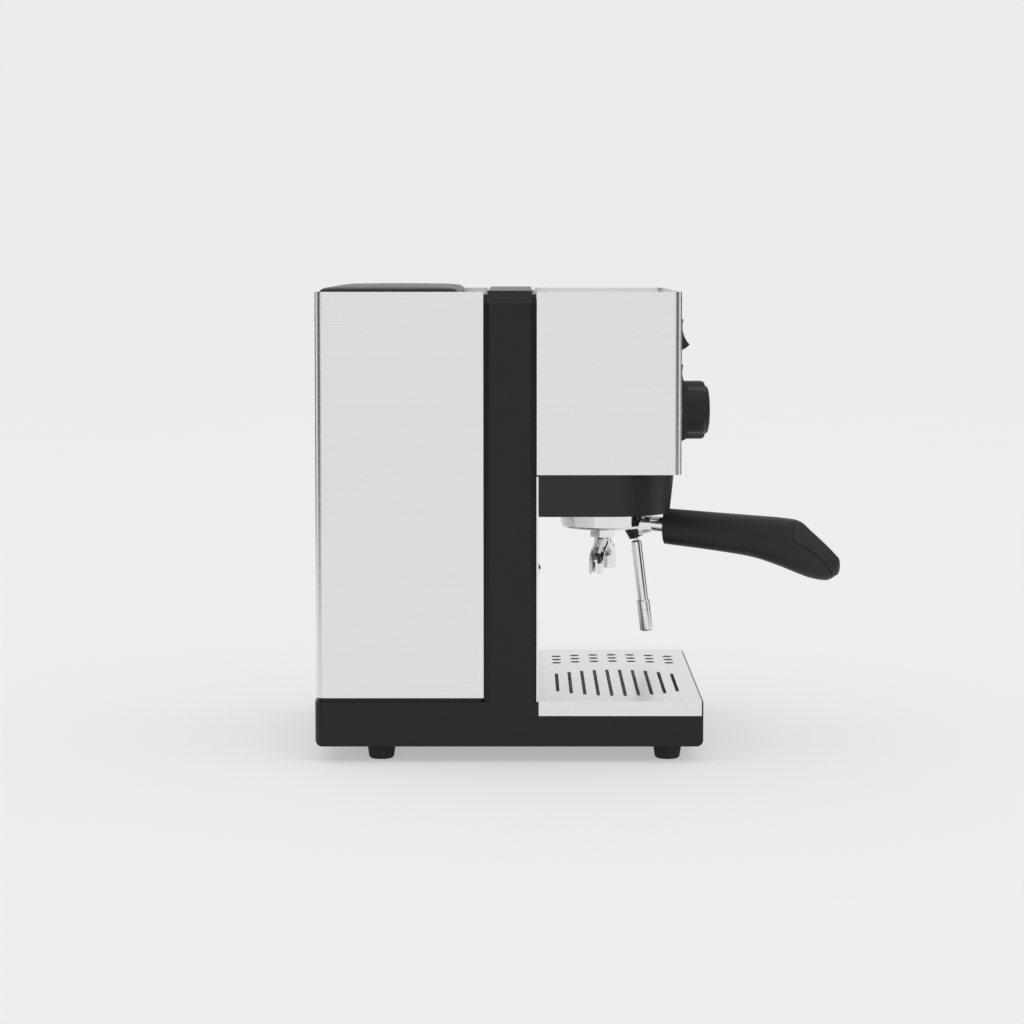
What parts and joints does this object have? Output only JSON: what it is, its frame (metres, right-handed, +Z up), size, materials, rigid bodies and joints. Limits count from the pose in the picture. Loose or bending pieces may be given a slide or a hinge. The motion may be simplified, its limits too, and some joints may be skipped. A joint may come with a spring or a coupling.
{
  "type": "espresso machine",
  "caption": "Home espresso machine with a steel body, black side columns, locking filter holder, steam wand, drip tray and lift-out water tank.",
  "frame": {"origin": "on the table, under the middle of the box round the whole machine", "axes": "+Z up, the front faces -Y, the user's left is -X"},
  "size_m": [0.235, 0.3844, 0.3413],
  "materials": {
    "black_paint": "satin powder coat",
    "steel": "brushed",
    "bright": "polished",
    "black_plastic": "satin",
    "knob_plastic": "satin",
    "rubber": "matte",
    "brass": "satin",
    "copper": "satin",
    "tank": "clear",
    "hose": "satin",
    "zinc": "zinc plated",
    "white_plastic": "satin",
    "gunmetal": "satin"
  },
  "bodies": {
    "machine": {"base_pan": "black_paint", "feet": "rubber", "foot_screws": "zinc", "frame_hoop": "black_paint", "bridge_cap": "black_plastic", "rear_housing": "steel", "front_housing": "steel", "case_screws": "bright", "cup_tray": "steel", "tank_deck": "steel", "tank_shelf": "zinc", "tank_coupling": "rubber", "water_pump": "gunmetal", "pump_bracket": "zinc", "pump_mounts": "rubber", "relief_valve": "brass", "suction_hose": "hose", "pressure_hose": "hose", "boiler": "brass", "heating_element": "copper", "boiler_gasket": "rubber", "group_bolts": "zinc", "group_head": "bright", "group_gasket": "rubber", "dispersion_plate": "brass", "shower_screen": "bright", "shower_screw": "zinc", "thermostats": "white_plastic", "solenoid_valve": "gunmetal", "drain_tube": "copper", "steam_pipe": "copper", "steam_valve": "brass", "wand_feed_pipe": "bright", "ball_seat": "white_plastic", "wand_nut": "black_plastic", "switch_bodies": "black_plastic", "backsplash": "steel", "apron": "black_plastic", "power_inlet": "black_plastic", "terminal_block": "white_plastic"},
    "portafilter": {"portafilter_body": "bright", "filter_basket": "bright", "basket_spring": "zinc", "portafilter_spout": "bright", "portafilter_handle": "black_plastic", "handle_insert": "knob_plastic"},
    "knob": {"steam_knob": "knob_plastic", "steam_spindle": "zinc"},
    "power_rocker": {"power_rocker": "black_plastic"},
    "brew_rocker": {"brew_rocker": "black_plastic"},
    "water_rocker": {"water_rocker": "black_plastic"},
    "steam_rocker": {"steam_rocker": "black_plastic"},
    "wand_ball": {"wand_ball": "bright"},
    "wand": {"wand_tube": "bright", "wand_tip": "bright"},
    "tray": {"drip_tray": "steel"},
    "grate": {"drip_grate": "steel"},
    "tank": {"water_tank": "tank", "tank_valve": "black_plastic"},
    "lid": {"tank_lid": "black_plastic"}
  },
  "joints": [
    {"name": "portafilter_turn", "type": "hinge", "parent": "machine", "child": "portafilter", "pos_m": [0, -0.0176, 0.18], "axis": [0, 0, 1], "range_deg": [-34, 20]},
    {"name": "wand_swing", "type": "hinge", "parent": "machine", "child": "wand_ball", "pos_m": [0.065, -0.0451, 0.1462], "axis": [0, 1, 0], "range_deg": [-14, 14]},
    {"name": "wand_tilt", "type": "hinge", "parent": "wand_ball", "child": "wand", "pos_m": [0.065, -0.0451, 0.1462], "axis": [1, 0, 0], "range_deg": [-28, 5]},
    {"name": "knob_turn", "type": "hinge", "parent": "machine", "child": "knob", "pos_m": [0.065, -0.08, 0.2424], "axis": [0, -1, 0], "range_deg": [0, 330]},
    {"name": "power_rock", "type": "hinge", "parent": "machine", "child": "power_rocker", "pos_m": [-0.05, -0.0672, 0.3065], "axis": [1, 0, 0], "range_deg": [0, 28]},
    {"name": "brew_rock", "type": "hinge", "parent": "machine", "child": "brew_rocker", "pos_m": [-0.084, -0.0672, 0.3065], "axis": [1, 0, 0], "range_deg": [0, 28]},
    {"name": "water_rock", "type": "hinge", "parent": "machine", "child": "water_rocker", "pos_m": [-0.084, -0.0672, 0.2737], "axis": [1, 0, 0], "range_deg": [0, 28]},
    {"name": "steam_rock", "type": "hinge", "parent": "machine", "child": "steam_rocker", "pos_m": [-0.084, -0.0672, 0.2409], "axis": [1, 0, 0], "range_deg": [0, 28]},
    {"name": "tray_lift", "type": "slide", "parent": "machine", "child": "tray", "axis": [0, 0, 1], "range_m": [0, 0.012]},
    {"name": "grate_lift", "type": "slide", "parent": "tray", "child": "grate", "axis": [0, 0, 1], "range_m": [0, 0.01]},
    {"name": "tank_lift", "type": "slide", "parent": "machine", "child": "tank", "axis": [0, 0, 1], "range_m": [0, 0.215]},
    {"name": "lid_lift", "type": "slide", "parent": "tank", "child": "lid", "axis": [0, 0, 1], "range_m": [0, 0.03]}
  ]
}
